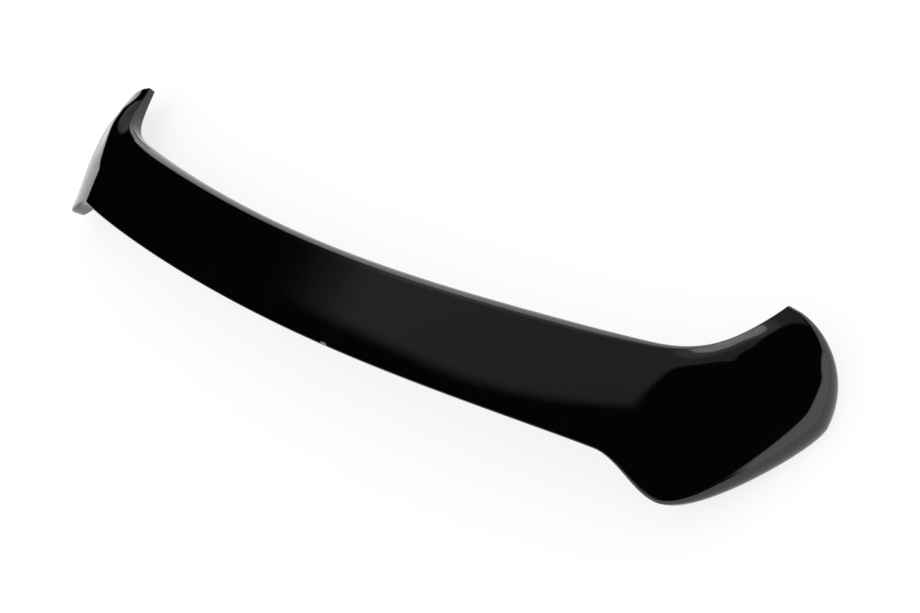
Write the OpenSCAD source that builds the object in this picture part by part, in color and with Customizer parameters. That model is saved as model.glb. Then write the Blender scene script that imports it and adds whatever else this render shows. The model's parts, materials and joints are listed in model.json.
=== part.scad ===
// Boot lid spoiler for a saloon car, moulded in one piece and painted gloss black.
// A wide blade lies across the rear of the lid. Each end droops over the corner of the lid and
// spreads into a rounded lobe, with a fin on its inner side that reaches forward to a tip.
// Brass inserts are set into flat round seats in the underside; screws come up through the lid.
// X runs across the car, +Y is forward and +Z is up. The origin is under the middle of the whole
// part, on the level of its lowest edges.

/* [Overall] */
// Half of the overall width, from the middle to the side of a lobe
half_w = 621; // [600:0.5:660]
// How far the widest point of a lobe lies behind the forward tips
side_back = 82.5; // [65:0.5:95]

/* [Front edge] */
// Front edge at the middle, behind the forward tips
lead_back = 122.5; // [110:0.5:130]
// How far the front edge sweeps forward before the fins begin
lead_sweep = 57; // [40:1:65]
// Distance of a forward tip from the middle
tip_x = 545; // [535:0.5:556]
// Where the front edge starts to turn forward into a fin
fin_start_x = 418; // [380:1:440]
// How sharply the front edge turns into a fin
fin_turn = 4.5; // [3:0.1:5.5]
// Rounding of a tip, seen from above
tip_round = 4; // [3:0.5:8]

/* [Rear edge] */
// Rear edge at the middle, behind the forward tips
trail_back = 235; // [220:1:245]
// How far the rear edge sweeps forward on its way to a lobe
trail_sweep = 43.5; // [25:0.5:50]
// How far a lobe sticks out behind the swept rear edge
lobe_back = 25.5; // [8:0.5:28]
// Where the rear edge starts to turn out round a lobe
lobe_start_x = 462; // [440:1:470]
// Distance of a lobe's rear corner from the middle
corner_x = 528; // [512:1:535]
// How full the outline is between the side and the rear corner, along the side
side_bulge = 27; // [20:0.5:50]
// How full the outline is at the rear corner
corner_bulge = 31.5; // [20:0.5:50]

/* [Lid] */
// Height of the lid under the middle of the blade, above the level of the tips
lid_crown = 32; // [26:1:36]
// How far the lid falls from the middle to the rear corners of the part
lid_drop = 43.5; // [40:0.5:50]
// How late that fall comes: 2 is a plain arch, more keeps the middle flat
lid_bend = 3.7; // [3.3:0.1:4.5]
// How far the lid falls from the side points to the rear edge
lid_fall = 7; // [4:0.5:14]

/* [Top] */
// Height of the front edge at the middle, above the level of the tips
front_z = 51; // [47:0.5:56]
// Fall of that height from the middle to a rear corner
front_drop = 44; // [36:0.5:48]
// How late the front edge falls
front_bend = 3.3; // [2.8:0.1:3.8]
// Height of the rear lip at the middle, above the level of the tips
lip_z = 60; // [54:0.5:66]
// Fall of the rear lip from the middle to a rear corner
lip_drop = 54; // [48:0.5:58]
// How late the rear lip falls
lip_bend = 4.6; // [4:0.1:5.5]
// Rise of the middle of the blade over the line from front to rear
crown_h = 2.8; // [0.5:0.1:5]
// How much more the top is crowned at a rear corner
crown_gain = 3.2; // [0:0.1:6]
// How late that extra crown comes
crown_bend = 5.5; // [4:0.1:7]
// How soon the top straightens again past the blade's edges, on fins and lobes
flare = 3.5; // [1.5:0.1:5]

/* [Swell] */
// Height of the swell along a fin
swell_h = 18; // [8:0.5:24]
// How far the ridge of the swell lies from a fin's inner edge
swell_in = 28; // [20:1:36]
// How far the swell reaches outward past its ridge
swell_out = 40; // [25:1:55]
// Length over which the swell rises from the tip
swell_tip = 53; // [20:1:70]
// Distance of the ridge from the middle, at the level of the tips
ridge_x = 547; // [535:1:560]

/* [Walls] */
// Radius of the blade's front edge
nose_r = 18.5; // [10:0.5:20]
// Inset of the blade's front edge above its foot
nose_in = 3.6; // [1:0.1:6]
// Radius along the crest of a fin
crest_r = 10; // [4:0.5:12]
// Inset of a fin's crest above its foot
crest_in = 2.8; // [1:0.1:5]
// Where a fin's crest has its full radius
fin_peak = 497; // [480:1:510]
// Radius over the edge of the tip
tip_r = 4; // [2:0.5:5]
// Inset of the tip's upper edge above its foot
tip_in = 1; // [0.5:0.1:3]
// Radius of the shoulder over a lobe's side wall
side_r = 28; // [14:0.5:30]
// How far the foot of the side wall is tucked in
side_tuck = 6; // [0:0.5:12]
// Radius over the rear corner
corner_r = 6; // [3:0.5:8]
// Radius of the rear lip
lip_r = 2; // [1:0.25:4]
// How far the wall under the rear lip is set forward
undercut = 18; // [8:0.5:22]
// Radius of the lower edges
foot_r = 3; // [1:0.5:4]

/* [Mounts] */
// Distance of the inner pair of inserts from the middle
inner_pair_x = 150; // [80:5:220]
// Distance of the outer pair of blade inserts from the middle
outer_pair_x = 350; // [280:5:400]
// Distance of the lobe inserts from the middle
lobe_pair_x = 540; // [530:1:550]
// Bore of an insert, for an M6 screw
insert_bore = 5; // [4:0.1:6.4]
// Outer diameter of an insert
insert_d = 9; // [8:0.5:11]
// Length of an insert
insert_l = 11; // [8:0.5:12]
// Diameter of the flat seat round an insert
seat_d = 20; // [16:1:24]

/* [Hidden] */

PAINT = [0.02, 0.02, 0.025];
BRASS = [0.72, 0.58, 0.30];

// Steps from the middle to a tip, from front to rear, round half a tip, up a foot and over a crest
ROWS = 40;
COLS = 18;
TIP_STEPS = 3;
FOOT_STEPS = 3;
CREST_STEPS = 9;
// How much closer the rows stand near a lobe than at the middle
ROW_SQUEEZE = 1.35;

// Inset of a foot at the rear corner
CORNER_TUCK = 5;
// Share of the side line that lies before its widest point
WIDEST = 0.42;
// Share of the side line that the tip's rounding takes
TIP_SHARE = 0.03;
// How the ridge of a swell draws inward on its way back: in a line, and more with the distance
RIDGE_LEAN = 0.2;
RIDGE_BEND = 0.001;
// Where the swell starts across the part, and over what length it comes in there
SWELL_START_X = 455;
SWELL_START_L = 75;
// Where the swell starts to fade towards the rear, and over what length
SWELL_END = 60;
SWELL_FADE_L = 90;
// Length over which the fins' walls and the rear undercut blend in
BLEND_L = 40;
// Where the rows across the part start to bow out towards the side
BOW_START_X = 420;
BOW_POWER = 2;
// Share of a wall's height that the fillet at its foot may take
FOOT_SHARE = 0.15;
// How far in a crest fillet reaches, per radius
CREST_REACH = 0.85;
// Sides of the round seats, bores and inserts
ROUND_SIDES = 36;
// Length over which the slope of the top is read at a crest
SLOPE_L = 1;
// Depth of bore beyond the end of an insert
BORE_EXTRA = 1;
// Height of the lowest side of a seat's floor above the lid
SEAT_MIN = 0.5;
// A little more than flush, so that cuts pass cleanly through a face
OVER = 5;

function mix(a, b, t) = a + (b - a) * t;
function clamp(v, lo, hi) = min(max(v, lo), hi);
function ease(t) = let(u = clamp(t, 0, 1)) u * u * (3 - 2 * u);
function unit(v) = v / norm(v);
function bez(a, b, c, d, t) = a * pow(1 - t, 3) + 3 * b * t * pow(1 - t, 2)
    + 3 * c * t * t * (1 - t) + d * pow(t, 3);
function low_of(list, k) = min([for (p = list) p[k]]);
function high_of(list, k) = max([for (p = list) p[k]]);

// Points of an arc of radius r, shortened where it must be, that rounds the corner b
function fillet(a, b, c, r, n) =
    let(
        da = unit(a - b),
        dc = unit(c - b),
        half = acos(clamp(da * dc, -0.9999, 0.9999)) / 2,
        t = min(r / tan(half), 0.98 * norm(a - b), 0.98 * norm(c - b)),
        true_r = t * tan(half),
        mid = b + unit(da + dc) * true_r / sin(half),
        va = b + da * t - mid,
        vc = b + dc * t - mid,
        start = atan2(va[1], va[0]),
        turn = (atan2(vc[1], vc[0]) - start + 900) % 360 - 180
    )
    [for (i = [0:n]) mid + true_r * [cos(start + turn * i / n), sin(start + turn * i / n)]];

// The lid that the part lies on
function lid_z(x, y) = lid_crown - lid_drop * pow(abs(x) / corner_x, lid_bend)
    + lid_fall * (y + side_back) / (trail_back - side_back);

// Plan of the blade's front and rear lines, as they would run on through the fins and lobes
function front_line(x) = -lead_back + lead_sweep * pow(x / tip_x, 2);
function rear_line(x) = -trail_back + trail_sweep * pow(x / corner_x, 2);

// Plan of the front edge, from the middle to a tip
FIN_L = lead_back - lead_sweep;
FIN_RUN = tip_x - fin_start_x;
function front_y(x) = front_line(x) + FIN_L * pow(max(x - fin_start_x, 0) / FIN_RUN, fin_turn);
function front_slope(x) = 2 * lead_sweep * x / pow(tip_x, 2)
    + FIN_L * fin_turn / FIN_RUN * pow(max(x - fin_start_x, 0) / FIN_RUN, fin_turn - 1);

// Extra height of a fin: it rises from the inner edge to a ridge, and dies out past it
function swell(x, y) =
    let(
        inward = max(front_y(x) - y, 0) / norm([1, front_slope(x)]) / swell_in,
        outward = max(x - ridge_x - RIDGE_LEAN * y + RIDGE_BEND * y * y, 0) / swell_out,
        across = ease((x - SWELL_START_X) / SWELL_START_L),
        back = ease(-y / swell_tip) * (1 - ease((-y - SWELL_END) / SWELL_FADE_L))
    )
    swell_h * sin(90 * min(inward, 1)) * exp(-outward * outward) * across * back;

// Height of the top, one rule for the blade between its two lines and for all that lies past them
function top_bow(t) = t < 0 ? t / (1 - flare * t)
    : t > 1 ? (1 - t) / (1 + flare * (t - 1))
    : t * (1 - t);
function top_z(x, y) =
    let(
        u = abs(x) / corner_x,
        t = (front_line(x) - y) / (front_line(x) - rear_line(x)),
        front = front_z - front_drop * pow(u, front_bend),
        rear = lip_z - lip_drop * pow(u, lip_bend),
        crown = crown_h + crown_gain * pow(u, crown_bend)
    )
    mix(front, rear, t) + 4 * crown * top_bow(t) + swell(abs(x), y);

// Plan of the rear edge, from the middle to a rear corner
function rear_y(x) = rear_line(x) - lobe_back * ease((x - lobe_start_x) / (corner_x - lobe_start_x));

// Plan of the side, s from 0 at the tip over the widest point to 1 at the rear corner
TIP = [tip_x, 0];
WIDE = [half_w, -side_back];
CORNER = [corner_x, rear_y(corner_x)];
function side_xy(s) = s <= WIDEST
    ? let(a = 90 * s / WIDEST) [mix(tip_x, half_w, sin(a)), -side_back * (1 - cos(a))]
    : bez(WIDE, WIDE - [0, side_bulge], CORNER + corner_bulge * [1, 2 * trail_sweep / corner_x],
        CORNER, (s - WIDEST) / (1 - WIDEST));

// The tip's rounding joins the front edge a little before the tip and the side a little after
ROUND_X = tip_x - 0.8 * tip_round / norm([1, front_slope(tip_x)]);
TIP_ARC = fillet([ROUND_X, front_y(ROUND_X)], TIP, side_xy(TIP_SHARE), tip_round, 2 * TIP_STEPS);

// Outline of the right half, from the front middle to the rear middle
function spread(i, n) = 1 - pow(1 - i / n, ROW_SQUEEZE);
FRONT_ROWS = ROWS - TIP_STEPS;
SIDE_STEPS = COLS - TIP_STEPS;
BEFORE_WIDEST = round(SIDE_STEPS * (WIDEST - TIP_SHARE) / (1 - TIP_SHARE));
AFTER_WIDEST = SIDE_STEPS - BEFORE_WIDEST;
FRONT_XY = [
    for (i = [0:FRONT_ROWS - 1]) let(x = ROUND_X * spread(i, FRONT_ROWS)) [x, front_y(x)],
    for (k = [0:TIP_STEPS]) TIP_ARC[k]
];
SIDE_S = [
    for (k = [1:TIP_STEPS]) TIP_SHARE * k / TIP_STEPS,
    for (j = [1:BEFORE_WIDEST]) mix(TIP_SHARE, WIDEST, j / BEFORE_WIDEST),
    for (j = [1:AFTER_WIDEST]) mix(WIDEST, 1, j / AFTER_WIDEST)
];
SIDE_XY = [
    for (k = [1:TIP_STEPS]) TIP_ARC[TIP_STEPS + k],
    for (j = [TIP_STEPS:COLS - 1]) side_xy(SIDE_S[j])
];
REAR_XY = [for (i = [ROWS - 1:-1:0]) let(x = corner_x * spread(i, ROWS)) [x, rear_y(x)]];
OUTLINE = concat(FRONT_XY, SIDE_XY, REAR_XY);
LAST = 2 * ROWS + COLS;

// Outward direction at each point of the outline
function flip(p) = [-p[0], p[1]];
function outward(i) =
    let(
        after = i < LAST ? OUTLINE[i + 1] : flip(OUTLINE[LAST - 1]),
        before = i > 0 ? OUTLINE[i - 1] : flip(OUTLINE[1]),
        along = unit(after - before)
    )
    [-along[1], along[0]];

// Walls round the outline: [radius over the crest, inset of the crest, inset of the foot]
function front_wall(x) =
    let(
        to_fin = ease((x - fin_start_x + BLEND_L) / (fin_peak - fin_start_x + BLEND_L)),
        to_tip = ease((x - fin_peak) / (tip_x - fin_peak))
    )
    [
        mix(mix(nose_r, crest_r, to_fin), tip_r, to_tip),
        mix(mix(nose_in, crest_in, to_fin), tip_in, to_tip),
        0
    ];
function side_wall(s) =
    let(
        to_side = ease(s / WIDEST),
        to_corner = ease((s - 0.55) / 0.45)
    )
    [
        mix(mix(tip_r, side_r, to_side), corner_r, to_corner),
        tip_in * (1 - to_side),
        mix(side_tuck * to_side, CORNER_TUCK, to_corner)
    ];
function rear_wall(x) =
    let(
        to_lobe = ease((x - lobe_start_x) / (corner_x - lobe_start_x)),
        to_corner = ease((x - lobe_start_x + BLEND_L) / (corner_x - lobe_start_x + BLEND_L))
    )
    [mix(lip_r, corner_r, to_lobe), 0, mix(undercut, CORNER_TUCK, to_corner)];
WALL = [
    for (p = FRONT_XY) front_wall(p[0]),
    for (j = [0:COLS - 1]) side_wall(SIDE_S[j]),
    for (p = REAR_XY) rear_wall(p[0])
];

// One upright line of the wall: foot fillet, then a crest fillet that runs into the top with the
// top's own slope there, as [outward, height] pairs. Neither reaches in past the middle of the blade.
HALF_CHORD = (trail_back - lead_back) / 2;
function wall_line(p, o, w) =
    let(
        reach = CREST_REACH * w[0],
        end = p - (w[1] + reach) * o,
        past = end - SLOPE_L * o,
        end_z = top_z(end[0], end[1]),
        rise = (top_z(past[0], past[1]) - end_z) / SLOPE_L,
        foot = [-w[2], lid_z(p[0], p[1])],
        crest = [-w[1], end_z - rise * reach],
        knee = mix(foot, crest, FOOT_SHARE)
    )
    concat(
        fillet(foot - [HALF_CHORD, 0], foot, knee, foot_r, FOOT_STEPS),
        fillet(knee, crest, crest + HALF_CHORD * [-1, rise], w[0], CREST_STEPS)
    );
LEVELS = FOOT_STEPS + CREST_STEPS + 2;
LINES = [
    for (i = [0:LAST]) let(p = OUTLINE[i], o = outward(i))
        [for (q = wall_line(p, o, WALL[i])) [p[0] + o[0] * q[0], p[1] + o[1] * q[0], q[1]]]
];

// The wall as a closed band: right half forwards, left half backwards
LOOP = 2 * LAST;
function mirrored(p) = [-p[0], p[1], p[2]];
function band_point(k, l) = l <= LAST ? LINES[l][k] : mirrored(LINES[LOOP - l][k]);

// Points inside the top and inside the base, row by row from the left side to the right side
function inner_point(r, c, k) =
    let(
        i = abs(r),
        v = c / COLS,
        front = LINES[i][k],
        rear = LINES[LAST - i][k],
        side = LINES[ROWS + c][k],
        side_chord = mix(LINES[ROWS][k], LINES[ROWS + COLS][k], v),
        bow = pow(max(front[0] - BOW_START_X, 0) / (LINES[ROWS][k][0] - BOW_START_X), BOW_POWER),
        p = mix(front, rear, v) + bow * (side - side_chord),
        z = k == 0 ? lid_z(p[0], p[1]) : top_z(p[0], p[1])
    )
    [r < 0 ? -p[0] : p[0], p[1], z];
INNER_ROWS = ROWS - 1;
INNER_COLS = COLS - 1;
INNER = (2 * INNER_ROWS + 1) * INNER_COLS;
RAW = [
    for (k = [0:LEVELS - 1]) for (l = [0:LOOP - 1]) band_point(k, l),
    for (r = [-INNER_ROWS:INNER_ROWS]) for (c = [1:INNER_COLS]) inner_point(r, c, LEVELS - 1),
    for (r = [-INNER_ROWS:INNER_ROWS]) for (c = [1:INNER_COLS]) inner_point(r, c, 0)
];

// The part's own origin: middle of the box, level of the lowest edge
SHIFT = [0, -(low_of(RAW, 1) + high_of(RAW, 1)) / 2, -low_of(RAW, 2)];
POINTS = [for (p = RAW) p + SHIFT];

// Number of a point in a patch, which shares its border with the band
function patch_id(r, c, k, first) =
    c == 0 ? k * LOOP + (r >= 0 ? r : LOOP + r)
    : c == COLS ? k * LOOP + (r >= 0 ? LAST - r : LOOP - LAST - r)
    : r == ROWS ? k * LOOP + ROWS + c
    : r == -ROWS ? k * LOOP + LOOP - ROWS - c
    : first + (r + INNER_ROWS) * INNER_COLS + c - 1;
function top_id(r, c) = patch_id(r, c, LEVELS - 1, LEVELS * LOOP);
function base_id(r, c) = patch_id(r, c, 0, LEVELS * LOOP + INNER);

// Two triangles for one cell, split the other way on the left so that both halves match
function cell(a, b, c, d, right) = right ? [[a, b, c], [a, c, d]] : [[a, b, d], [b, c, d]];
TOP_FACES = [
    for (r = [-ROWS:ROWS - 1]) for (c = [0:COLS - 1])
        each cell(top_id(r, c), top_id(r + 1, c), top_id(r + 1, c + 1), top_id(r, c + 1), r >= 0)
];
BASE_FACES = [
    for (r = [-ROWS:ROWS - 1]) for (c = [0:COLS - 1])
        each cell(base_id(r, c), base_id(r, c + 1), base_id(r + 1, c + 1), base_id(r + 1, c), r >= 0)
];
BAND_FACES = [
    for (k = [0:LEVELS - 2]) for (l = [0:LOOP - 1])
        let(m = (l + 1) % LOOP, here = k * LOOP, over = here + LOOP)
            each cell(here + l, here + m, over + m, over + l, l < LAST)
];

// Mounts: three pairs, each on the middle of the chord
function mid_y(x) = (front_y(x) + rear_y(x)) / 2;
LOBE_PAIR_Y = (rear_y(corner_x) - side_back / 2) / 2;
PAIRS = [
    [inner_pair_x, mid_y(inner_pair_x)],
    [outer_pair_x, mid_y(outer_pair_x)],
    [lobe_pair_x, LOBE_PAIR_Y]
];
SEATS = [for (p = PAIRS) for (side = [-1, 1]) [side * p[0], p[1]]];
function seat_z(p) = SEAT_MIN + max([for (a = [0:45:315])
    lid_z(p[0] + seat_d / 2 * cos(a), p[1] + seat_d / 2 * sin(a))]);

module on_seats() {
    for (p = SEATS) {
        translate([p[0], p[1], seat_z(p)] + SHIFT) {
            children();
        }
    }
}

module spoiler_body() {
    color(PAINT)
        difference() {
            polyhedron(POINTS, concat(TOP_FACES, BASE_FACES, BAND_FACES));
            // flat round seats under the body
            on_seats()
                translate([0, 0, -seat_d / 2 - OVER])
                    cylinder(h = seat_d / 2 + OVER, d = seat_d, $fn = ROUND_SIDES);
            // bores for the inserts
            on_seats()
                translate([0, 0, -OVER])
                    cylinder(h = insert_l + BORE_EXTRA + OVER, d = insert_d, $fn = ROUND_SIDES);
        }
}

module threaded_inserts() {
    color(BRASS)
        on_seats()
            difference() {
                cylinder(h = insert_l, d = insert_d, $fn = ROUND_SIDES);
                translate([0, 0, -OVER])
                    cylinder(h = insert_l + 2 * OVER, d = insert_bore, $fn = ROUND_SIDES);
            }
}

spoiler_body();
threaded_inserts();
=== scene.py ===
# %% [markdown]
# A boot lid spoiler, painted gloss black.
# The real thing is one hollow moulding that lies on the rear of a car's boot lid. Almost everything
# that the eye reads on it is a reflection, so the lesson is mostly about a clean surface: one smooth
# rule for the top, an outline drawn from a few driving sizes, and a wall that rolls into the top.

# %% Load the packed model
import json
import math
import bmesh
import bpy
import numpy as np
from mathutils import Euler, Matrix, Vector


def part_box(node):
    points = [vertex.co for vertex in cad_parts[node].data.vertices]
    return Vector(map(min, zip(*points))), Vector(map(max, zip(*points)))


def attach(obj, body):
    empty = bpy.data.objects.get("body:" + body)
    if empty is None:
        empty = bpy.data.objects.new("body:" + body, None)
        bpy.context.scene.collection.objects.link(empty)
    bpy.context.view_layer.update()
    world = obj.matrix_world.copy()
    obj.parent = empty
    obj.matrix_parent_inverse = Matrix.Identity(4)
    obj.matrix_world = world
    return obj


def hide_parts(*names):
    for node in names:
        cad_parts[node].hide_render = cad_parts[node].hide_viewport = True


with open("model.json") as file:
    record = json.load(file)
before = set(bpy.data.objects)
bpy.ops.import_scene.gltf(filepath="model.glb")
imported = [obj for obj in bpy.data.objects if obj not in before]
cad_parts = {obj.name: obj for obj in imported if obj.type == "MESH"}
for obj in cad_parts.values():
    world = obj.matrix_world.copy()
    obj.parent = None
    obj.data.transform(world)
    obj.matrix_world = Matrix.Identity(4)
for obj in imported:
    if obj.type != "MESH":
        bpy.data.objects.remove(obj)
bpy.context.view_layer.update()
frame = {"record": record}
MM = 1000  # millimetres in a metre

# %% [markdown]
# The driving sizes are those of the part's source, in millimetres and under the same names, which stand
# in capitals here. They are measured from the level of the two forward tips, with X across the car, +Y
# forward and +Z up. Keeping them together makes it easy to check one file against the other.

# %% Driving sizes, in millimetres
HALF_W, SIDE_BACK = 621.0, 82.5
LEAD_BACK, LEAD_SWEEP = 122.5, 57.0
TIP_X, FIN_START_X, FIN_TURN, TIP_ROUND = 545.0, 418.0, 4.5, 4.0
TRAIL_BACK, TRAIL_SWEEP = 235.0, 43.5
LOBE_BACK, LOBE_START_X, CORNER_X = 25.5, 462.0, 528.0
SIDE_BULGE, CORNER_BULGE = 27.0, 31.5
LID_CROWN, LID_DROP, LID_BEND, LID_FALL = 32.0, 43.5, 3.7, 7.0
FRONT_Z, FRONT_DROP, FRONT_BEND = 51.0, 44.0, 3.3
LIP_Z, LIP_DROP, LIP_BEND = 60.0, 54.0, 4.6
CROWN_H, CROWN_GAIN, CROWN_BEND, FLARE = 2.8, 3.2, 5.5, 3.5
SWELL_H, SWELL_IN, SWELL_OUT, SWELL_TIP = 18.0, 28.0, 40.0, 53.0
RIDGE_X, RIDGE_LEAN, RIDGE_BEND = 547.0, 0.2, 0.001
SWELL_START_X, SWELL_START_L, SWELL_END, SWELL_FADE_L = 455.0, 75.0, 60.0, 90.0
NOSE_R, NOSE_IN, CREST_R, CREST_IN = 18.5, 3.6, 10.0, 2.8
TIP_R, TIP_IN, FIN_PEAK = 4.0, 1.0, 497.0
SIDE_R, SIDE_TUCK, CORNER_R, CORNER_TUCK = 28.0, 6.0, 6.0, 5.0
LIP_R, UNDERCUT, FOOT_R, BLEND_L = 2.0, 18.0, 3.0, 40.0
print("chord of the blade at the middle:", TRAIL_BACK - LEAD_BACK, "mm")

# %% [markdown]
# A few small helpers carry the whole surface. An ease curve blends one value into another without a
# corner, a Bezier draws the soft rear of each lobe, and a fillet replaces a sharp corner with an arc.

# %% Helpers for curves
NEARLY_STRAIGHT, SIDE_IN_USE = 0.9999, 0.98


def mix(a, b, t):
    return a + (b - a) * t


def steps(start, end, count):
    """Even steps from start to end, without start itself."""
    return [mix(start, end, k / count) for k in range(1, count + 1)]


def ease(t):
    u = min(max(t, 0.0), 1.0)
    return u * u * (3 - 2 * u)


def bezier(a, b, c, d, t):
    return a * (1 - t) ** 3 + 3 * b * t * (1 - t) ** 2 + 3 * c * t * t * (1 - t) + d * t ** 3


def fillet(a, b, c, radius, count):
    """Points of an arc that rounds the corner b between the lines to a and to c."""
    to_a, to_c = a - b, c - b
    len_a, len_c = np.linalg.norm(to_a), np.linalg.norm(to_c)
    to_a, to_c = to_a / len_a, to_c / len_c
    half = math.acos(min(max(float(to_a @ to_c), -NEARLY_STRAIGHT), NEARLY_STRAIGHT)) / 2
    back = min(radius / math.tan(half), SIDE_IN_USE * len_a, SIDE_IN_USE * len_c)
    true_r = back * math.tan(half)
    bisector = to_a + to_c
    centre = b + bisector / np.linalg.norm(bisector) * true_r / math.sin(half)
    first, last = b + to_a * back - centre, b + to_c * back - centre
    start = math.atan2(first[1], first[0])
    turn = (math.atan2(last[1], last[0]) - start + math.pi) % (2 * math.pi) - math.pi
    angles = start + turn * np.arange(count + 1) / count
    return centre + true_r * np.c_[np.cos(angles), np.sin(angles)]


print("an ease curve at its quarter points:", [round(ease(t), 3) for t in steps(0, 1, 4)])

# %% [markdown]
# Seen from above, the blade lies between two shallow parabolas. The front edge turns up into each fin by
# a power of the distance, which is how such an edge looks when it is faired, and the rear edge eases back
# into each lobe.

# %% Front and rear edges seen from above
FIN_L, FIN_RUN = LEAD_BACK - LEAD_SWEEP, TIP_X - FIN_START_X
LOBE_RUN = CORNER_X - LOBE_START_X


def lead_y(x):
    """The blade's own front edge, without the fins."""
    return -LEAD_BACK + LEAD_SWEEP * (x / TIP_X) ** 2


def trail_y(x):
    """The blade's own rear edge, without the lobes."""
    return -TRAIL_BACK + TRAIL_SWEEP * (x / CORNER_X) ** 2


def front_y(x):
    return lead_y(x) + FIN_L * (max(x - FIN_START_X, 0) / FIN_RUN) ** FIN_TURN


def front_slope(x):
    in_fin = (max(x - FIN_START_X, 0) / FIN_RUN) ** (FIN_TURN - 1)
    return 2 * LEAD_SWEEP * x / TIP_X ** 2 + FIN_L * FIN_TURN / FIN_RUN * in_fin


def rear_y(x):
    return trail_y(x) - LOBE_BACK * ease((x - LOBE_START_X) / LOBE_RUN)


print("slope of the front edge where it meets a tip:", round(front_slope(TIP_X), 2))

# %% [markdown]
# Two smooth rules give every height. The lid is what the underside follows. The top is a blade
# section, front edge to rear lip with a little crown, whose heights fall towards the ends. Past the
# blade's own edges, on the fins and lobes, the same rule simply runs on, so no seam can show.

# %% Heights of the lid and of the top
def lid_z(x, y):
    fall = LID_FALL * (y + SIDE_BACK) / (TRAIL_BACK - SIDE_BACK)
    return LID_CROWN - LID_DROP * (abs(x) / CORNER_X) ** LID_BEND + fall


def swell(x, y):
    """The extra height of a fin: it rises from the inner edge to a ridge, and dies out beyond it."""
    a = abs(x)
    inward = max(front_y(a) - y, 0) / math.hypot(1, front_slope(a)) / SWELL_IN
    outward = max(a - (RIDGE_X + RIDGE_LEAN * y - RIDGE_BEND * y * y), 0) / SWELL_OUT
    across = math.sin(math.pi / 2 * min(inward, 1)) * math.exp(-outward ** 2)
    along_y = ease(-y / SWELL_TIP) * (1 - ease((-y - SWELL_END) / SWELL_FADE_L))
    along_x = ease((a - SWELL_START_X) / SWELL_START_L)
    return SWELL_H * across * along_y * along_x


def top_z(x, y):
    u = abs(x) / CORNER_X
    t = (lead_y(x) - y) / (lead_y(x) - trail_y(x))
    if t < 0:
        bow = t / (1 - FLARE * t)
    elif t > 1:
        bow = (1 - t) / (1 + FLARE * (t - 1))
    else:
        bow = t * (1 - t)
    front = FRONT_Z - FRONT_DROP * u ** FRONT_BEND
    rear = LIP_Z - LIP_DROP * u ** LIP_BEND
    crown = CROWN_H + CROWN_GAIN * u ** CROWN_BEND
    return mix(front, rear, t) + 4 * crown * bow + swell(x, y)


LIP_H = top_z(0, -TRAIL_BACK) - lid_z(0, -TRAIL_BACK)
print("height of the rear lip over the lid at the middle:", round(LIP_H, 1), "mm")

# %% [markdown]
# The outline of one half runs from the middle of the front edge out to a tip, round the side of the
# lobe to its rear corner, and back along the rear lip. A quarter of an ellipse leads from the tip to
# the widest place, and a Bezier from there to the corner. The tip itself is a small fillet.

# %% Outline seen from above
ROWS, COLS, TIP_STEPS, ROW_SQUEEZE = 160, 54, 9, 1.35
WIDEST, TIP_SHARE, TIP_LEAD = 0.42, 0.03, 0.8
CORNER = np.array([CORNER_X, rear_y(CORNER_X)])
ROUND_X = TIP_X - TIP_LEAD * TIP_ROUND / math.hypot(1, front_slope(TIP_X))


def side_xy(s):
    """The side line: 0 at the tip, WIDEST at the side, 1 at the rear corner."""
    if s <= WIDEST:
        a = math.pi / 2 * s / WIDEST
        return np.array([mix(TIP_X, HALF_W, math.sin(a)), -SIDE_BACK * (1 - math.cos(a))])
    wide = np.array([HALF_W, -SIDE_BACK])
    leave = CORNER + CORNER_BULGE * np.array([1, 2 * TRAIL_SWEEP / CORNER_X])
    return bezier(wide, wide - [0, SIDE_BULGE], leave, CORNER, (s - WIDEST) / (1 - WIDEST))


def spread(count):
    """Steps from 0 to 1 that draw closer together towards the lobe."""
    return [1 - (1 - i / count) ** ROW_SQUEEZE for i in range(count)]


SIDE_STEPS = COLS - TIP_STEPS
TO_WIDEST = round(SIDE_STEPS * (WIDEST - TIP_SHARE) / (1 - TIP_SHARE))
side_s = steps(0, TIP_SHARE, TIP_STEPS) + steps(TIP_SHARE, WIDEST, TO_WIDEST)
side_s += steps(WIDEST, 1, SIDE_STEPS - TO_WIDEST)
before_tip, tip = np.array([ROUND_X, front_y(ROUND_X)]), np.array([TIP_X, 0.0])
tip_arc = list(fillet(before_tip, tip, side_xy(TIP_SHARE), TIP_ROUND, 2 * TIP_STEPS))
front_xy = [np.array([ROUND_X * v, front_y(ROUND_X * v)]) for v in spread(ROWS - TIP_STEPS)]
front_xy += tip_arc[:TIP_STEPS + 1]
side_line = tip_arc[TIP_STEPS + 1:] + [side_xy(s) for s in side_s[TIP_STEPS:]]
rear_xy = [np.array([CORNER_X * v, rear_y(CORNER_X * v)]) for v in reversed(spread(ROWS))]
OUTLINE = np.array(front_xy + side_line + rear_xy)
LAST = len(OUTLINE) - 1
print("points in the half outline:", LAST + 1)

# %% [markdown]
# A wall stands round the whole outline. Each upright line of it has a small foot radius, a straight
# piece, and a crest radius that runs into the top at the top's own slope. That slope is read from the
# height rule, so the crest never leaves a crease, and its radius may change freely: wide over the nose
# and the side of a lobe, tight along the fin and the lip.

# %% How the wall changes round the outline
CORNER_FROM = 0.55


def front_wall(x):
    """The crest's radius, how far the crest stands in, and how far the foot stands in."""
    to_fin = ease((x - FIN_START_X + BLEND_L) / (FIN_PEAK - FIN_START_X + BLEND_L))
    to_tip = ease((x - FIN_PEAK) / (TIP_X - FIN_PEAK))
    radius = mix(mix(NOSE_R, CREST_R, to_fin), TIP_R, to_tip)
    crest_in = mix(mix(NOSE_IN, CREST_IN, to_fin), TIP_IN, to_tip)
    return radius, crest_in, 0.0


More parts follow.
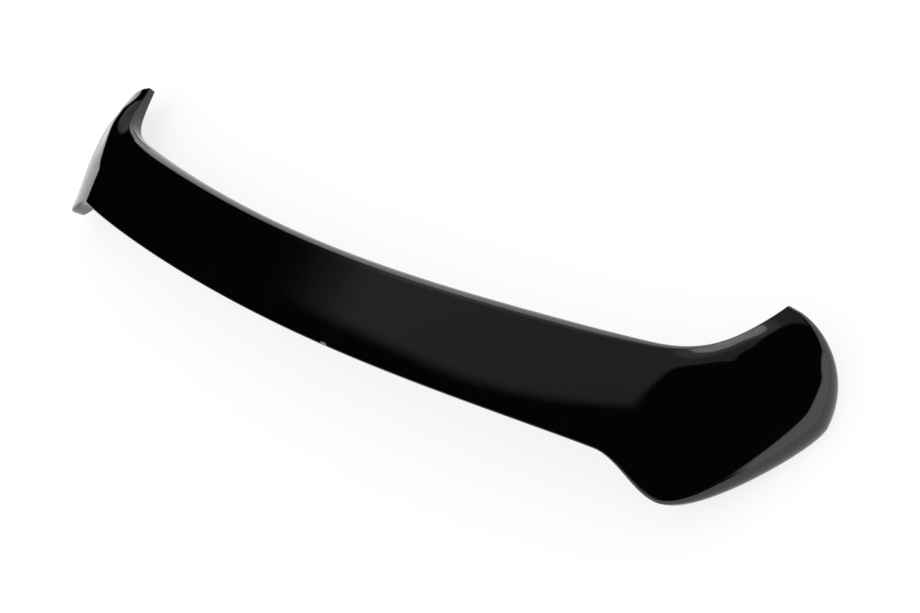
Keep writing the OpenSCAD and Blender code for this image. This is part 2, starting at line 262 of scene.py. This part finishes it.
def side_wall(s):
    to_side, to_corner = ease(s / WIDEST), ease((s - CORNER_FROM) / (1 - CORNER_FROM))
    radius = mix(mix(TIP_R, SIDE_R, to_side), CORNER_R, to_corner)
    return radius, TIP_IN * (1 - to_side), mix(SIDE_TUCK * to_side, CORNER_TUCK, to_corner)


def rear_wall(x):
    to_lobe = ease((x - LOBE_START_X) / LOBE_RUN)
    to_corner = ease((x - LOBE_START_X + BLEND_L) / (LOBE_RUN + BLEND_L))
    return mix(LIP_R, CORNER_R, to_lobe), 0.0, mix(UNDERCUT, CORNER_TUCK, to_corner)


WALLS = [front_wall(p[0]) for p in front_xy]
WALLS += [side_wall(s) for s in side_s]
WALLS += [rear_wall(p[0]) for p in rear_xy]
radii = [round(wall[0], 1) for wall in WALLS]
print("crest radius runs from", min(radii), "to", max(radii), "mm")

# %% Walls round the outline
FOOT_STEPS, CREST_STEPS, CREST_REACH, FOOT_SHARE = 6, 18, 0.85, 0.15
HALF_CHORD = (TRAIL_BACK - LEAD_BACK) / 2

after = np.vstack([OUTLINE[1:], OUTLINE[-2] * [-1, 1]])
before = np.vstack([OUTLINE[1] * [-1, 1], OUTLINE[:-1]])
along = (after - before) / np.linalg.norm(after - before, axis=1)[:, None]
OUTWARD = np.c_[-along[:, 1], along[:, 0]]
lines = []
for here, out, (radius, crest_in, foot_in) in zip(OUTLINE, OUTWARD, WALLS):
    reach = CREST_REACH * radius
    end = here - (crest_in + reach) * out
    rise = top_z(*(end - out)) - top_z(*end)
    foot = np.array([-foot_in, lid_z(*here)])
    crest = np.array([-crest_in, top_z(*end) - rise * reach])
    knee = mix(foot, crest, FOOT_SHARE)
    profile = np.vstack([
        fillet(foot - [HALF_CHORD, 0], foot, knee, FOOT_R, FOOT_STEPS),
        fillet(knee, crest, crest + HALF_CHORD * np.array([-1, rise]), radius, CREST_STEPS),
    ])
    lines.append(np.c_[here + out * profile[:, :1], profile[:, 1]])
BAND = np.array(lines)
NOSE_H = float(BAND[0, -1, 2] - BAND[0, 0, 2])
print("wall height at the middle of the front edge:", round(NOSE_H, 1), "mm")

# %% [markdown]
# The top and the underside are sheets of rows that run from the front edge to the rear. Near a lobe the
# rows bow out until the last one lies on the side line, so the grid fits the rounded end without a pole.
# Only their plan comes from the rows; their heights come from the two rules.

# %% Top and underside
BOW_START_X, BOW_POWER = 420.0, 2.0


def sheet(edge, height_of):
    grid = np.zeros((ROWS + 1, COLS + 1, 3))
    first, last = edge[ROWS], edge[ROWS + COLS]
    for i in range(ROWS + 1):
        bow = (max(edge[i][0] - BOW_START_X, 0) / (first[0] - BOW_START_X)) ** BOW_POWER
        for c in range(COLS + 1):
            v = c / COLS
            p = mix(edge[i], edge[LAST - i], v) + bow * (edge[ROWS + c] - mix(first, last, v))
            if 0 < c < COLS and i < ROWS:
                p[2] = height_of(p[0], p[1])
            grid[i, c] = p
    return grid


TOP = sheet(BAND[:, -1], top_z)
UNDER = sheet(BAND[:, 0], lid_z)
BLADE_T = float(TOP[0, COLS // 2, 2] - UNDER[0, COLS // 2, 2])
print("thickness at the middle of the blade:", round(BLADE_T, 1), "mm")

# %% [markdown]
# The three grids become one closed mesh: each is added for the right half and again mirrored for the
# left, with its faces turned over, and the shared edges are merged by a tiny distance. The finer mesh is
# then fitted to the box of the packed solid, which moves it by a tenth of a millimetre at most. A face
# attribute keeps the underside apart, because the real moulding isn't polished there, and a vertex
# attribute marks the crests, where wear shows.

# %% One closed body
MERGE = 0.000001


def add_object(name, mesh):
    made = bpy.data.objects.new(name, mesh)
    bpy.context.scene.collection.objects.link(made)
    return made


def both_halves(grid, turned, start):
    """Points and faces of a grid for the right half, then mirrored for the left."""
    points, faces = [], []
    rows, cols = grid.shape[:2]
    for side in (1, -1):
        points += (grid * [side, 1, 1]).reshape(-1, 3).tolist()
        for i in range(rows - 1):
            for c in range(cols - 1):
                a = start + i * cols + c
                quad = [a, a + 1, a + cols + 1, a + cols]
                faces.append(quad if (side == 1) != turned else quad[::-1])
        start += rows * cols
    return points, faces


def closed_body(name):
    plain = np.zeros(COLS + 1)
    worn = np.r_[np.zeros(FOOT_STEPS + 1), np.sin(np.linspace(0, math.pi, CREST_STEPS + 1))]
    verts, faces, under_flags, crest_values = [], [], [], []
    for grid, turned, under, crest in (
        (TOP, False, 0, plain),
        (UNDER, True, 1, plain),
        (BAND, False, 0, worn),
    ):
        new_verts, new_faces = both_halves(grid, turned, len(verts))
        verts += new_verts
        faces += new_faces
        under_flags += [under] * len(new_faces)
        crest_values += np.tile(crest, 2 * len(grid)).tolist()
    verts = np.array(verts)
    low, high = (MM * np.array(corner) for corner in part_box("spoiler_body"))
    least, most = verts.min(axis=0), verts.max(axis=0)
    fitted = low + (verts - least) * (high - low) / (most - least)
    print("moved at most by the fit, in mm:", np.round(np.abs((high - low) - (most - least)), 2))
    mesh = bpy.data.meshes.new(name)
    mesh.from_pydata((fitted / MM).tolist(), [], faces)
    for label, domain, values in (("under", "FACE", under_flags), ("crest", "POINT", crest_values)):
        layer = mesh.attributes.new(label, "FLOAT", domain)
        layer.data.foreach_set("value", np.array(values, np.float32))
    bm = bmesh.new()
    bm.from_mesh(mesh)
    bmesh.ops.remove_doubles(bm, verts=bm.verts, dist=MERGE)
    bm.to_mesh(mesh)
    bm.free()
    return add_object(name, mesh), Vector((low + high - least - most) / 2)


body, SHIFT = closed_body("gloss_body")
print("faces:", len(body.data.polygons))

# %% [markdown]
# The inserts sit in flat round seats. The seats and the bores are cut with plain cylinders by the exact
# Boolean, which leaves the rest of the mesh as it was. Sharp edges are then marked by angle, so that the
# rim of a seat stays crisp while the painted skin shades as one surface.

# %% Seats and bores
INSERT_D, INSERT_BORE, INSERT_L, SEAT_D, BORE_EXTRA = 9.0, 5.0, 11.0, 20.0, 1.0
SEAT_OPEN, BORE_OPEN, SEAT_SIDES, BORE_SIDES, BODY_SHARP = 20.0, 1.0, 96, 64, 38
MOUNTS = [m for m in frame["record"]["mounts"] if m["kind"] == "threaded_hole"]
SEATS = [Vector(m["pos_m"]) - Vector((0, 0, INSERT_L / 2 / MM)) for m in MOUNTS]
print("seats in mm:", [[round(MM * v, 1) for v in seat] for seat in SEATS])


def cut(obj, diameter, bottom, top, sides):
    """Cuts one upright cylinder out of the object at every seat; heights are measured from the seat."""
    bm = bmesh.new()
    radius = diameter / 2 / MM
    for seat in SEATS:
        place = Matrix.Translation(seat + Vector((0, 0, (bottom + top) / 2 / MM)))
        bmesh.ops.create_cone(bm, cap_ends=True, segments=sides, radius1=radius, radius2=radius,
                              depth=(top - bottom) / MM, matrix=place)
    tool_mesh = bpy.data.meshes.new("cutter")
    bm.to_mesh(tool_mesh)
    bm.free()
    tool = add_object("cutter", tool_mesh)
    modifier = obj.modifiers.new("cut", "BOOLEAN")
    modifier.operation, modifier.solver, modifier.object = "DIFFERENCE", "EXACT", tool
    result = bpy.data.meshes.new_from_object(obj.evaluated_get(bpy.context.evaluated_depsgraph_get()))
    obj.modifiers.remove(modifier)
    obj.data = result
    bpy.data.objects.remove(tool)


def shade(mesh, sharp_from):
    """Smooth shading, with the edges above an angle in degrees kept sharp."""
    for polygon in mesh.polygons:
        polygon.use_smooth = True
    mesh.set_sharp_from_angle(angle=math.radians(sharp_from))


cut(body, SEAT_D, -SEAT_OPEN, 0, SEAT_SIDES)
cut(body, INSERT_D, -BORE_OPEN, INSERT_L + BORE_EXTRA, BORE_SIDES)
shade(body.data, BODY_SHARP)
print("faces after the cuts:", len(body.data.polygons))

# %% [markdown]
# A node tree reads best as arithmetic. This small class lets sockets be added and multiplied like
# numbers, so that a material, or a shape made by nodes, is a few formulas and not a page of links.

# %% Arithmetic on sockets
class Val:
    """A socket, or a number, that can be used in a formula."""

    def __init__(self, nodes, socket):
        self.nodes, self.socket = nodes, socket

    def math(self, operation, *others):
        return self.nodes.out("ShaderNodeMath", 0, {"operation": operation}, self, *others)

    def ramp(self, low, high, out_low=0, out_high=1):
        """Moves smoothly from out_low to out_high while the value goes from low to high."""
        smooth = {"interpolation_type": "SMOOTHSTEP"}
        return self.nodes.out("ShaderNodeMapRange", 0, smooth, self, low, high, out_low, out_high)

    def under(self, edge):
        return self.math("LESS_THAN", edge)

    def __add__(self, other):
        return self.math("ADD", other)

    def __sub__(self, other):
        return self.math("SUBTRACT", other)

    def __rsub__(self, other):
        return Val(self.nodes, other).math("SUBTRACT", self)

    def __mul__(self, other):
        return self.math("MULTIPLY", other)

    def __truediv__(self, other):
        return self.math("DIVIDE", other)

    def __rtruediv__(self, other):
        return Val(self.nodes, other).math("DIVIDE", self)

    def __pow__(self, other):
        return self.math("POWER", other)

    def __neg__(self):
        return self.math("MULTIPLY", -1)

    __radd__, __rmul__ = __add__, __mul__


reflected = [name for name in vars(Val) if name.startswith("__r")]
print("operators that also take a number on their left:", len(reflected))

# %% [markdown]
# Any node that isn't arithmetic comes from one method, which takes the node's type, its settings and then
# the values or links of its sockets, by their order or by their names.

# %% Nodes, materials and noises
class Nodes:
    """One node tree, emptied, with a short way to add a node."""

    def __init__(self, tree):
        self.tree = tree
        tree.nodes.clear()

    def feed(self, slot, value):
        if isinstance(value, Val) and not isinstance(value.socket, (int, float)):
            self.tree.links.new(value.socket, slot)
        else:
            slot.default_value = value.socket if isinstance(value, Val) else value

    def node(self, kind, settings=None, *values, **inputs):
        """Adds a node: its settings first, then a value or a link for each socket."""
        node = self.tree.nodes.new(kind)
        for key, value in (settings or {}).items():
            setattr(node, key, value)
        for slot, value in zip(node.inputs, values):
            self.feed(slot, value)
        for key, value in inputs.items():
            name = key.replace("_", " ")
            self.feed(next(s for s in node.inputs if s.name == name and s.enabled), value)
        return node

    def out(self, kind, socket=0, settings=None, *values, **inputs):
        return Val(self, self.node(kind, settings, *values, **inputs).outputs[socket])


def material(name):
    made = bpy.data.materials.new(name)
    made.use_nodes = True
    return made, Nodes(made.node_tree)


def noise(nodes, place, scale, detail=2.0):
    return nodes.out("ShaderNodeTexNoise", "Fac", Vector=place, Scale=scale, Detail=detail)


def grey(nodes, level, blue=None):
    """A neutral colour from one number, with a blue of its own where that is given."""
    blue = level if blue is None else blue
    return nodes.out("ShaderNodeCombineColor", Red=level, Green=level, Blue=blue)


paint, p = material("gloss_black")
print("a new material starts with", len(p.tree.nodes), "nodes")

# %% [markdown]
# Gloss black paint has almost no colour of its own: what shows is a hard mirror, whose image wavers a
# little because sprayed lacquer never levels out completely. Two noises do that, a broad one and a fine
# one. A few specks of dust and hair-fine wiping marks lift the roughness here and there, crests are worn a
# touch duller, and the underside is the plainer satin black of a surface that nobody polishes. One small
# chip on the rear lip, which the photograph shows, has broken down to the grey primer.

# %% Marks on the paint
WAVE_SCALE, PEEL_SCALE, CLOUD_SCALE, SPECK_SCALE, RAGGED_SCALE = 9.0, 420.0, 14.0, 900.0, 700.0
SPECK_FROM, CLOUD_FROM, WIPE_FROM = (0.70, 0.78), (0.45, 0.7), (0.66, 0.80)
WIPE_TURN, WIPE_SCALE = (0.2, 0.1, 0.6), (60.0, 2600.0, 400.0)
CHIP_X, CHIP_IN, CHIP_HALF, CHIP_EDGE = 122.5, 2.5, Vector((5.5, 1.6, 4.0)) / MM, (1.35, 1.5)
chip_y = rear_y(CHIP_X) + CHIP_IN
CHIP_AT = (Vector((CHIP_X, chip_y, top_z(CHIP_X, chip_y))) + SHIFT) / MM

place = p.out("ShaderNodeTexCoord", "Object")
under = p.out("ShaderNodeAttribute", "Fac", {"attribute_name": "under"})
crest = p.out("ShaderNodeAttribute", "Fac", {"attribute_name": "crest"})
broad, peel = noise(p, place, WAVE_SCALE), noise(p, place, PEEL_SCALE)
clouds = noise(p, place, CLOUD_SCALE, detail=4.0)
dust = noise(p, place, SPECK_SCALE, detail=1.0).ramp(*SPECK_FROM) * clouds.ramp(*CLOUD_FROM)
turned = p.out("ShaderNodeMapping", Vector=place, Rotation=WIPE_TURN, Scale=WIPE_SCALE)
wipes = noise(p, turned, 1.0).ramp(*WIPE_FROM)
around_chip = {"vector_type": "TEXTURE"}
near = p.out("ShaderNodeMapping", 0, around_chip, Vector=place, Location=CHIP_AT, Scale=CHIP_HALF)
from_chip = p.out("ShaderNodeVectorMath", "Value", {"operation": "LENGTH"}, Vector=near)
chip = (from_chip + noise(p, place, RAGGED_SCALE)).ramp(*CHIP_EDGE, 1, 0)
print("chip at, in mm:", [round(MM * v, 1) for v in CHIP_AT])

# %% Gloss black paint
GLOSS, HAZE, WORN, WIPED, DUSTY, SATIN, PRIMER = 0.025, 0.02, 0.03, 0.05, 0.25, 0.30, 0.5
BLACK, DUST_GREY, WORN_GREY, SATIN_GREY, PRIMER_GREY, BLUISH = 0.0012, 0.03, 0.0012, 0.008, 0.20, 1.04
WAVE_H, PEEL_H, DUST_H, CHIP_H = 0.00012, 0.0000022, 0.000003, 0.0003
LACQUER_IOR = 1.6

rough = GLOSS + HAZE * clouds + WORN * crest * clouds + WIPED * wipes * clouds
rough = rough + DUSTY * dust + SATIN * under + PRIMER * chip
level = BLACK + DUST_GREY * dust + WORN_GREY * crest * clouds + SATIN_GREY * under + PRIMER_GREY * chip
height = WAVE_H * broad + PEEL_H * peel + DUST_H * dust - CHIP_H * chip
bump = p.out("ShaderNodeBump", Strength=1.0, Distance=1.0, Height=height)
shine = p.out("ShaderNodeBsdfPrincipled", Base_Color=grey(p, level, level * BLUISH), Roughness=rough,
              Normal=bump, IOR=LACQUER_IOR)
p.node("ShaderNodeOutputMaterial", Surface=shine)
body.data.materials.clear()
body.data.materials.append(paint)
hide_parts("spoiler_body")
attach(body, "root")
print("paint has", len(paint.node_tree.nodes), "nodes")

# %% [markdown]
# The inserts are turned from brass, which tarnishes in patches: darker, browner and duller there. The fine
# marks of the tool are a bump of a hundredth of a millimetre or so.

# %% Brass
BRIGHT, DULL, TARNISH_SCALE, MARK_SCALE = (0.72, 0.53, 0.25, 1), (0.42, 0.28, 0.12, 1), 260.0, 3000.0
TARNISH_FROM, MARK_H, BRASS_ROUGH, TARNISH_ROUGH = (0.4, 0.7), 0.00002, 0.22, 0.2

brass, b = material("brass")
spot = b.out("ShaderNodeTexCoord", "Object")
tarnish = noise(b, spot, TARNISH_SCALE, detail=4.0).ramp(*TARNISH_FROM)
tint = b.out("ShaderNodeMix", 2, {"data_type": "RGBA"}, Factor=tarnish, A=BRIGHT, B=DULL)
marks = b.out("ShaderNodeBump", Strength=0.5, Distance=1.0, Height=noise(b, spot, MARK_SCALE) * MARK_H)
metal = b.out("ShaderNodeBsdfPrincipled", Base_Color=tint, Metallic=1.0,
              Roughness=BRASS_ROUGH + TARNISH_ROUGH * tarnish, Normal=marks)
b.node("ShaderNodeOutputMaterial", Surface=metal)
print("brass has", len(brass.node_tree.nodes), "nodes")

# %% [markdown]
# Six brass inserts take the screws. They are all alike, so Geometry Nodes make one and set a copy of it on
# each seat. A rounded rectangle is swept round a circle for the sleeve, and the wall of its bore is then
# pushed outward by a wave that climbs as it goes round, which is what a screw thread is.

# %% Tree of one threaded insert
INSERT_SIZES = {"Outer radius": INSERT_D / 2, "Bore radius": INSERT_BORE / 2, "Length": INSERT_L,
                "Edge": 0.4, "Pitch": 1.0, "Depth": 0.5, "Step": 0.17}
EDGE_STEPS, ROUND_STEPS, BORE_MARGIN, THREAD_MARGIN = 3, 48, 1 / 8, 1.5


def insert_tree():
    group = bpy.data.node_groups.new("insert", "GeometryNodeTree")
    n = Nodes(group)
    group.interface.new_socket("Geometry", in_out="INPUT", socket_type="NodeSocketGeometry")
    group.interface.new_socket("Geometry", in_out="OUTPUT", socket_type="NodeSocketGeometry")
    for name in INSERT_SIZES:
        group.interface.new_socket(name, in_out="INPUT", socket_type="NodeSocketFloat")
    start = n.node("NodeGroupInput")
    outer, bore, length, edge, pitch, depth, step = (Val(n, start.outputs[name]) for name in INSERT_SIZES)
    section = n.out("GeometryNodeCurvePrimitiveQuadrilateral", Width=outer - bore, Height=length)
    section = n.out("GeometryNodeFilletCurve", 0, {"mode": "POLY"}, Curve=section, Radius=edge,
                    Count=EDGE_STEPS)
    section = n.out("GeometryNodeResampleCurve", 0, {"mode": "LENGTH"}, Curve=section, Length=step)
    circle = n.out("GeometryNodeCurvePrimitiveCircle", Radius=(outer + bore) / 2, Resolution=ROUND_STEPS)
    sleeve = n.out("GeometryNodeCurveToMesh", Curve=circle, Profile_Curve=section)
    where = n.node("ShaderNodeSeparateXYZ", Vector=n.out("GeometryNodeInputPosition"))
    x, y, z = (Val(n, where.outputs[i]) for i in range(3))
    radius = (x * x + y * y) ** 0.5
    wave = (z / pitch + y.math("ARCTAN2", x) / math.tau).math("PINGPONG", 0.5) * 2
    in_bore = radius.under(bore + edge * BORE_MARGIN)
    in_bore = in_bore * z.math("ABSOLUTE").under(length / 2 - edge * THREAD_MARGIN)
    push = depth * wave * in_bore / radius
    outward = n.out("ShaderNodeCombineXYZ", X=x * push, Y=y * push)
    threaded = n.out("GeometryNodeSetPosition", Geometry=sleeve, Offset=outward)
    seats = Val(n, start.outputs["Geometry"])
    copies = n.out("GeometryNodeInstanceOnPoints", Points=seats, Instance=threaded)
    real = n.out("GeometryNodeRealizeInstances", Geometry=copies)
    n.node("NodeGroupOutput", Geometry=n.out("GeometryNodeSetMaterial", Geometry=real, Material=brass))
    return group


sleeve_tree = insert_tree()
print("tree of an insert has", len(sleeve_tree.nodes), "nodes")

# %% Threaded inserts
INSERT_SHARP = 50
points = bpy.data.meshes.new("seats")
points.from_pydata([m["pos_m"] for m in MOUNTS], [], [])
inserts = add_object("brass_inserts", points)
maker = inserts.modifiers.new("inserts", "NODES")
maker.node_group = sleeve_tree
for item in sleeve_tree.interface.items_tree:
    if item.name in INSERT_SIZES:
        maker[item.identifier] = INSERT_SIZES[item.name] / MM
made = bpy.data.meshes.new_from_object(inserts.evaluated_get(bpy.context.evaluated_depsgraph_get()))
inserts.modifiers.remove(maker)
inserts.data = made
bm = bmesh.new()
bm.from_mesh(made)
bmesh.ops.recalc_face_normals(bm, faces=bm.faces)
bm.to_mesh(made)
volume = MM ** 3 * bm.calc_volume(signed=True)
bm.free()
shade(made, INSERT_SHARP)
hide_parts("threaded_inserts")
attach(inserts, "root")
print("inserts:", len(made.polygons), "faces, volume in mm3:", round(volume, 1))

# %% [markdown]
# The floor is a pale sheet. Most of its white is a glow that only eyes and mirrors see, so the picture has
# the clean ground of a catalogue, and the rest is plain white paint that still takes the object's shadow.
# Seen from below it lets the eye through.

# %% Floor
FLOOR_HALF, FLOOR_GAP, FLOOR_PAINT, FLOOR_SEEN, FLOOR_GLOW = 5.0, 0.0005, 0.8, 0.25, 0.77
FLOOR_CORNERS = [(FLOOR_HALF * i, FLOOR_HALF * j, 0) for i, j in ((-1, -1), (1, -1), (1, 1), (-1, 1))]

floor_paint, f = material("floor_white")
path = f.node("ShaderNodeLightPath")
camera_ray, glossy_ray, glass_ray = (
    Val(f, path.outputs[name]) for name in ("Is Camera Ray", "Is Glossy Ray", "Is Transmission Ray"))
seen = (camera_ray + glossy_ray + glass_ray).math("MINIMUM", 1)
white = f.out("ShaderNodeBsdfDiffuse", Color=grey(f, FLOOR_PAINT + (FLOOR_SEEN - FLOOR_PAINT) * seen))
glow = f.out("ShaderNodeEmission", Strength=FLOOR_GLOW * seen)
from_above = f.out("ShaderNodeAddShader", 0, None, white, glow)
from_below = f.out("ShaderNodeBsdfTransparent")
turned_away = f.out("ShaderNodeNewGeometry", "Backfacing")
either = f.out("ShaderNodeMixShader", 0, None, turned_away, from_above, from_below)
f.node("ShaderNodeOutputMaterial", Surface=either)

floor_mesh = bpy.data.meshes.new("floor")
floor_mesh.from_pydata(FLOOR_CORNERS, [], [(0, 1, 2, 3)])
floor_mesh.materials.append(floor_paint)
floor = add_object("floor", floor_mesh)
floor.location.z = -FLOOR_GAP
print("floor is", 2 * FLOOR_HALF, "m wide, at z =", round(floor.location.z, 4))

# %% [markdown]
# A gloss black thing is lit twice. Light that falls on it comes from an even dome, at a level at which any
# colour would look as it is written. What it mirrors is a second picture, the studio: black overhead, white
# low down all round, a bright wall beyond the right end, and a long grey cloth beyond the front edge, whose
# border is the line that runs down the blade. A second cloth, behind the part, shows only from in front.
# Each of them is a soft-edged area among the directions that a ray can take.

# %% Directions and borders of the studio
RIM_TILT, RIM_LOW, RIM_STEP, RIM_SOFT = 0.46, 0.10, 0.20, 0.03
RIM_STEP_X, RIM_STEP_Y = (-0.45, -0.10), (0.3, 0.7)
WALL_WAY, WALL_EDGE, WALL_LEVEL = (0.943, 0.10, 0.20), (0.75, 0.81), 1.3
CLOTH_LEAN, CLOTH_SOFT, CLOTH_LEFT = 0.225, 0.035, (-0.765, -0.70)
CLOTH_UNDER, CLOTH_UNDER_EDGE = (0.803, 0.514, -0.303), (0.02, 0.10)
CLOTH_LEVEL, CLOTH_HIGH_LEVEL, CLOTH_FADE = 0.40, 0.24, (0.45, 0.62)
REAR_CLOTH_LEVEL, REAR_CLOTH_EDGE = 0.30, (0.60, 0.80)


def toward(way):
    """How far a ray goes in one direction."""
    return to_x * way[0] + to_y * way[1] + to_z * way[2]


world = bpy.data.worlds.new("studio")
world.use_nodes = True
bpy.context.scene.world = world
w = Nodes(world.node_tree)
ray = w.node("ShaderNodeSeparateXYZ", Vector=w.out("ShaderNodeTexCoord", "Generated"))
to_x, to_y, to_z = (Val(w, ray.outputs[i]) for i in range(3))
wall_half = math.acos(sum(WALL_EDGE) / 2 / math.hypot(*WALL_WAY))
print("the wall fills a cap of", round(math.degrees(2 * wall_half)), "degrees")

# %% World
rim = RIM_TILT * to_y.math("ABSOLUTE") - RIM_LOW
rim = rim + RIM_STEP * to_x.ramp(*RIM_STEP_X) * to_y.ramp(*RIM_STEP_Y)
low_white = (to_z - rim).ramp(-RIM_SOFT, RIM_SOFT, 1, 0)
wall = WALL_LEVEL * toward(WALL_WAY).ramp(*WALL_EDGE)
cloth = (to_y - CLOTH_LEAN * to_z).ramp(-CLOTH_SOFT, CLOTH_SOFT) * to_x.ramp(*CLOTH_LEFT)
cloth = cloth * toward(CLOTH_UNDER).ramp(*CLOTH_UNDER_EDGE, 1, 0)
cloth = cloth * to_z.ramp(*CLOTH_FADE, CLOTH_LEVEL, CLOTH_HIGH_LEVEL)
rear_cloth = REAR_CLOTH_LEVEL * (-to_y).ramp(*REAR_CLOTH_EDGE)
studio = (low_white + wall + cloth + rear_cloth).math("MINIMUM", WALL_LEVEL)
path = w.node("ShaderNodeLightPath")
camera_ray, glossy_ray = Val(w, path.outputs["Is Camera Ray"]), Val(w, path.outputs["Is Glossy Ray"])
level = (1 - glossy_ray * (1 - studio)) * (1 - camera_ray) + camera_ray
sky = w.out("ShaderNodeBackground", Color=grey(w, level), Strength=1.0)
w.node("ShaderNodeOutputWorld", Surface=sky)
print("world has", len(world.node_tree.nodes), "nodes")

# %% [markdown]
# The camera stands where the photograph was taken from: high, off to one side, and rolled, so that the
# spoiler lies across the picture from the upper left to the lower right.

# %% Camera
CAMERA_AT, CAMERA_LENS, CAMERA_SENSOR = Vector((1106.85, -341.83, 992.67)), 50.0, 36.0
CAMERA_TILT, CAMERA_HEADING, CAMERA_ROLL = map(math.radians, (43.007, 76.255, -48.463))

camera_data = bpy.data.cameras.new("camera")
camera_data.lens, camera_data.sensor_width = CAMERA_LENS, CAMERA_SENSOR
camera = add_object("camera", camera_data)
turn = Euler((CAMERA_TILT, 0, CAMERA_HEADING)).to_matrix().to_4x4() @ Matrix.Rotation(CAMERA_ROLL, 4, "Z")
camera.matrix_world = Matrix.Translation((CAMERA_AT + SHIFT) / MM) @ turn
bpy.context.scene.camera = camera
bpy.context.scene.view_settings.view_transform = "Standard"
print("camera is at, in mm:", [round(MM * v) for v in camera.matrix_world.translation])
